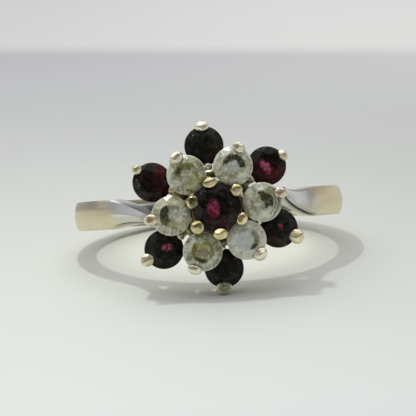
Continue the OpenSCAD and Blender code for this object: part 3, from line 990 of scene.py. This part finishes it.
def addSetting():
    s = setting
    rng = random.Random(s["seed"])
    lower, upper, claws = bmesh.new(), bmesh.new(), bmesh.new()
    wireRing(lower, s["railReach"], railLevel, s["railWire"])
    # the hub, which follows the finger hole underneath
    sides = s["hubSides"]
    rings = []
    for r in (0.25, 0.6, 0.9, s["hub"]):
        spots = [(r * math.cos(a), r * math.sin(a)) for a in evenAngles(sides)]
        rings.append([Vector((x, y, math.sqrt(fingerRadius ** 2 - x ** 2))) for x, y in spots])
    for r, z in ((s["hub"], 0.2), (s["hub"] - 0.08, 0.3), (0.4, 0.3)):
        rings.append([polar(360 * k / sides, r, railLevel + z) for k in range(sides)])
    loft(lower, rings)
    upperRail = whiteHeight - s["upperRailDrop"]
    wireRing(upper, s["upperRailReach"], upperRail, s["upperRailWire"])
    wireRing(upper, s["tieReach"], centreHeight - s["tieDrop"], s["tieWire"])
    collet(upper, centreSpot, centreSize)
    for k in range(6):
        slip, reach, clawSlip, *bead = rubyRows[k]
        angle = regularAngle(k, 30) + slip
        path = [polar(angle, r, railLevel) for r in (s["hub"] - 0.3, 0.5 * reach, reach)]
        tube(lower, path, [s["railWire"]] * 3, upward)
        collet(lower, rubySpots[k], stoneSize)
        outerClaw(claws, regularAngle(k, 30) + clawSlip, (s["railReach"], railLevel),
                  farEdge(reach, clawSlip - slip), rubyHeight, bead, rng)
        stem = reach - stoneRadius - s["stemIn"]
        path = [polar(angle, stem, height) for height in (railLevel, rubyHeight - 0.3, rubyHeight + 0.16)]
        tube(lower, path, [s["stemWire"]] * 3, polar(angle + 90, 1))
        size = s["stemBead"]
        nugget(claws, polar(angle, stem + 0.05, rubyHeight + 0.22), (size, size * 1.1, size * 0.9), angle,
               rng)

        slip, reach, clawSlip, *bead = whiteRows[k]
        angle = regularAngle(k, 0) + slip
        reaches = (s["upperRailReach"], 0.5 * (s["upperRailReach"] + reach), reach)
        tube(upper, [polar(angle, r, upperRail) for r in reaches], [s["armWire"]] * 3, upward)
        collet(upper, whiteSpots[k], stoneSize)
        outerClaw(claws, regularAngle(k, 0) + clawSlip, (s["railReach"] - 0.2, railLevel),
                  farEdge(reach, clawSlip - slip), whiteHeight, bead, rng)

        slip, nearer, size, out, beside, soil = innerRows[k]
        angle = regularAngle(k, 30) + slip
        head = (s["innerHead"] + nearer, centreHeight + s["innerLift"])
        wire = s["clawWire"]
        bentWire(claws, angle, [(s["innerFoot"], railLevel, wire),
                                (s["innerKnee"] + 0.02, 0.5 * (railLevel + centreHeight), wire),
                                (s["innerKnee"], centreHeight - 0.1, wire), (*head, wire * 0.9)])
        nugget(claws, polar(angle, *head), (size * out, size * beside, size * 0.8), angle, rng, soil)
    for mesh in (lower, upper, claws):
        seatMetal(mesh)
    for tier, mesh in (("lower", lower), ("upper", upper)):
        finish = clawFinish(tier + "Gold", "galleryGold", *clawWearAndPaintedLight["galleryDirt"])
        addPiece(tier + "_gallery", mesh, finish)
    finish = clawFinish("clawGold", "gold", *clawWearAndPaintedLight["clawDirt"], clawWearAndPaintedLight["clawSoftness"])
    addPiece("claws", claws, finish, s["clawSharpAngle"])


addSetting()
print("setting made")


# Floor, light and camera

stageLook = {
    # painted light falloff: how light the sheet is at each distance behind the ring, in mm
    "tones": [(-75, (0.96, 0.98, 0.985)), (-32, (0.955, 0.985, 0.97)), (-12, (0.845, 0.88, 0.85)),
              (10, (0.78, 0.805, 0.775)), (35, (0.765, 0.79, 0.775)), (75, (0.71, 0.735, 0.735)),
              (116, (0.67, 0.685, 0.705))],
    "beyond": (0.88, 0.89, 0.88),
    "farBeyond": (0.745, 0.75, 0.755),
    "edge": 114,  # where the sheet ends
    "edgeSlope": 0.43,
    "rightShade": 0.1,  # painted shade to the right near the ring, and painted light far behind it
    "rightGain": 0.3,
    "farFrom": 25,  # mm behind the ring that one passes into the other between
    "farTo": 100,
    "farGlow": (0.085, 0.085, 0.08),
    "glow": (0.9, 0.89, 0.81),  # gold light inside the hoop
    "size": 2500,
}


def addFloor():
    look = stageLook
    mesh = bmesh.new()
    bmesh.ops.create_grid(mesh, x_segments=40, y_segments=40, size=look["size"] * mm / 2)
    data = bpy.data.meshes.new("floor")
    mesh.to_mesh(data)
    mesh.free()
    floor = newObject("floor", data)
    f = newFinish("paper")
    here = f.ownPoint()
    x, y, z = f.parts(here)
    grain = f.noise(here, 0.5, 4.0, 0.6)
    turnedY = y + look["edgeSlope"] * x
    # painted light falloff along the sheet
    tone = look["tones"][0][1]
    for (near, _), (far, then) in zip(look["tones"], look["tones"][1:]):
        tone = f.mix(f.node("MapRange", {"Value": y, "From Min": near, "From Max": far}), tone, then)
    far = f.step(y, look["farFrom"], look["farTo"])
    # painted shade to the right near the ring, and painted light far behind it
    tone = f.mix(look["rightShade"] * f.step(x, -30, 30) * (1 - far), tone, (0, 0, 0))
    tone = f.mix(look["rightGain"] * f.step(x, -30, 40) * far, tone, (1, 1, 1))
    off = f.step(turnedY, look["edge"] - 6, look["edge"] + 9)
    beyond = f.mix(f.step(turnedY, look["edge"] + 10, 3 * look["edge"]), look["beyond"], look["farBeyond"])
    tone = f.mix(off, tone, beyond)
    # painted light: the sheet beyond its edge glows a little
    glow = f.mix(off * f.step(x, -45, 35), (0, 0, 0), look["farGlow"])
    hoopX, hoopY = (c / mm for c in hoopMiddle.xy)
    fromHoop = reachOf(x - hoopX, y - hoopY)
    tone = f.mix(0.5 * (1 - f.step(fromHoop, fingerRadius - 2, fingerRadius)), tone, look["glow"])
    tone = f.mix(0.03 * grain, tone, look["tones"][-1][1])
    data.materials.append(f.done(f.surface(tone, 0.55 + 0.1 * grain, f.bump(grain, 0.1, 0.02), {
        "Specular IOR Level": 0.25, "Emission Color": glow, "Emission Strength": 1.0})))


view = {
    "distance": 110.0,  # mm from the white stones' girdles
    "azimuth": 2.845,  # degrees to the left of the head's axis
    "roll": 2.824,
    "frameSide": 416,
    "focalPixels": 1633.5,
    "headOffset": 8.66,  # pixels that the head's axis lies right of the middle
    "sensor": 36.0,
}


def addCamera():
    a = math.radians(view["azimuth"])
    back = (math.cos(a) * headAxis - math.sin(a) * rightward).normalized()
    target = place @ Vector((0, 0, whiteHeight))
    spot = target + view["distance"] * mm * back
    side = (-back).cross(upward).normalized()
    aim = target - side * view["distance"] * mm * view["headOffset"] / view["focalPixels"]
    back = (spot - aim).normalized()
    side = (-back).cross(upward).normalized()
    up = back.cross(side)
    r = math.radians(-view["roll"])
    rolledSide = side * math.cos(r) + up * math.sin(r)
    rolledUp = up * math.cos(r) - side * math.sin(r)
    data = bpy.data.cameras.new("camera")
    data.sensor_width = view["sensor"]
    data.lens = view["sensor"] * view["focalPixels"] / view["frameSide"]
    data.clip_start, data.clip_end = 0.005, 10
    camera = newObject("camera", data)
    facing = Matrix((rolledSide, rolledUp, back)).transposed().to_4x4()
    camera.matrix_world = Matrix.Translation(spot) @ facing
    bpy.context.scene.camera = camera
    return back


light = {
    "lampAt": (-9.5, 0.0, 55.5),  # mm
    "lampSize": 2.4,
    "lampPower": 0.007,
    "lampTint": (0.92, 1.0, 0.87),
    "side": 0.45,  # brightness of the room low down to the sides
    "behind": 0.55,  # behind the ring
    "horizon": 0.7,  # in a narrow band at the foot of the sky
    "above": 0.33,  # higher up
    "panel": 1.05,  # and what the overhead panel adds
    "panelWay": (-0.12, 0.22, 1.0),
    "panelFrom": 0.6,  # cosines of the angles that the panel's edge fades between
    "panelTo": 0.9,
    "frontFrom": 0.45,  # and the edge of the dark place round the camera
    "frontTo": 0.92,
    "front": 0.4,  # share of the light that is left there
    "warm": (1.0, 0.97, 0.94),
    "cool": (0.995, 0.98, 1.0),
}


def addLight(towardsCamera):
    data = bpy.data.lights.new("lamp", "AREA")
    data.shape = "DISK"
    data.size = light["lampSize"] * mm
    data.energy = light["lampPower"]
    data.color = light["lampTint"]
    lamp = newObject("lamp", data)
    lamp.location = Vector(light["lampAt"]) * mm
    lamp.rotation_mode = "QUATERNION"
    lamp.rotation_quaternion = lamp.location.to_track_quat("Z", "Y")
    world = bpy.data.worlds.new("studio")
    bpy.context.scene.world = world
    f = Finish(world)
    way = f.node("TexCoord", None, None, 0)
    x, y, z = f.parts(way)
    height = f.step(z, 0.05, 0.5)
    behind = f.step(f.dot(way, -towardsCamera), -0.3, 0.7)
    front = f.step(f.dot(way, towardsCamera), light["frontFrom"], light["frontTo"])
    panel = f.step(f.dot(way, Vector(light["panelWay"]).normalized()), light["panelFrom"], light["panelTo"])
    low = light["side"] + (light["behind"] - light["side"]) * behind
    low = light["horizon"] + (low - light["horizon"]) * f.step(z, 0.07, 0.13)
    level = low + (light["above"] - low) * height
    level = (level + panel * light["panel"]) * (1 - (1 - light["front"]) * front)
    tint = f.mix(f.step(z, 0.4, 0.9), f.mix(height, light["cool"], light["warm"]), light["cool"])
    f.done(f.node("Background", {"Color": tint, "Strength": level}))


addFloor()
towardsCamera = addCamera()
addLight(towardsCamera)
bpy.context.scene.view_settings.view_transform = "Standard"
print("stage set")
